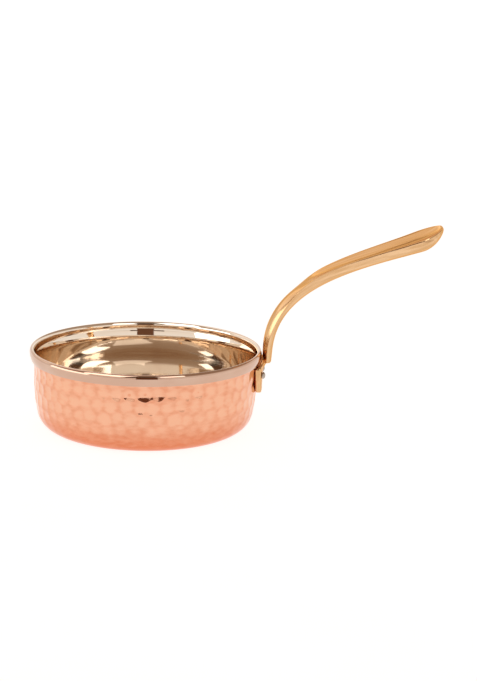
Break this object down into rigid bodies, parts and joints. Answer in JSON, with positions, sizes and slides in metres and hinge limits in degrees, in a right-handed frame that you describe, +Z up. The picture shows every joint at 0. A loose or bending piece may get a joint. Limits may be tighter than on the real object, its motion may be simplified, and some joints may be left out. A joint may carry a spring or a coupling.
{
  "type": "hammered pan",
  "caption": "Small round flat-based pan with upright hammered copper walls, a polished steel liner rolled over the rim and a long upswept riveted brass handle, for cooking and serving.",
  "frame": {"origin": "middle of the flat base, on the table plane", "axes": "+X from the bowl's middle towards the handle's tip, +Z up out of the bowl, +Y to the left of the handle seen from the bowl"},
  "size_m": [0.2634, 0.15, 0.135],
  "materials": {
    "copper": null,
    "polished_steel": "polished stainless steel, mirror-like",
    "cast_brass": "cast brass, polished",
    "rivet_steel": "plain steel rivet, satin"
  },
  "bodies": {
    "root": {"copper_shell": "copper", "steel_liner": "polished_steel", "handle": "cast_brass", "rivet_near": "rivet_steel", "rivet_far": "rivet_steel"}
  },
  "joints": []
}
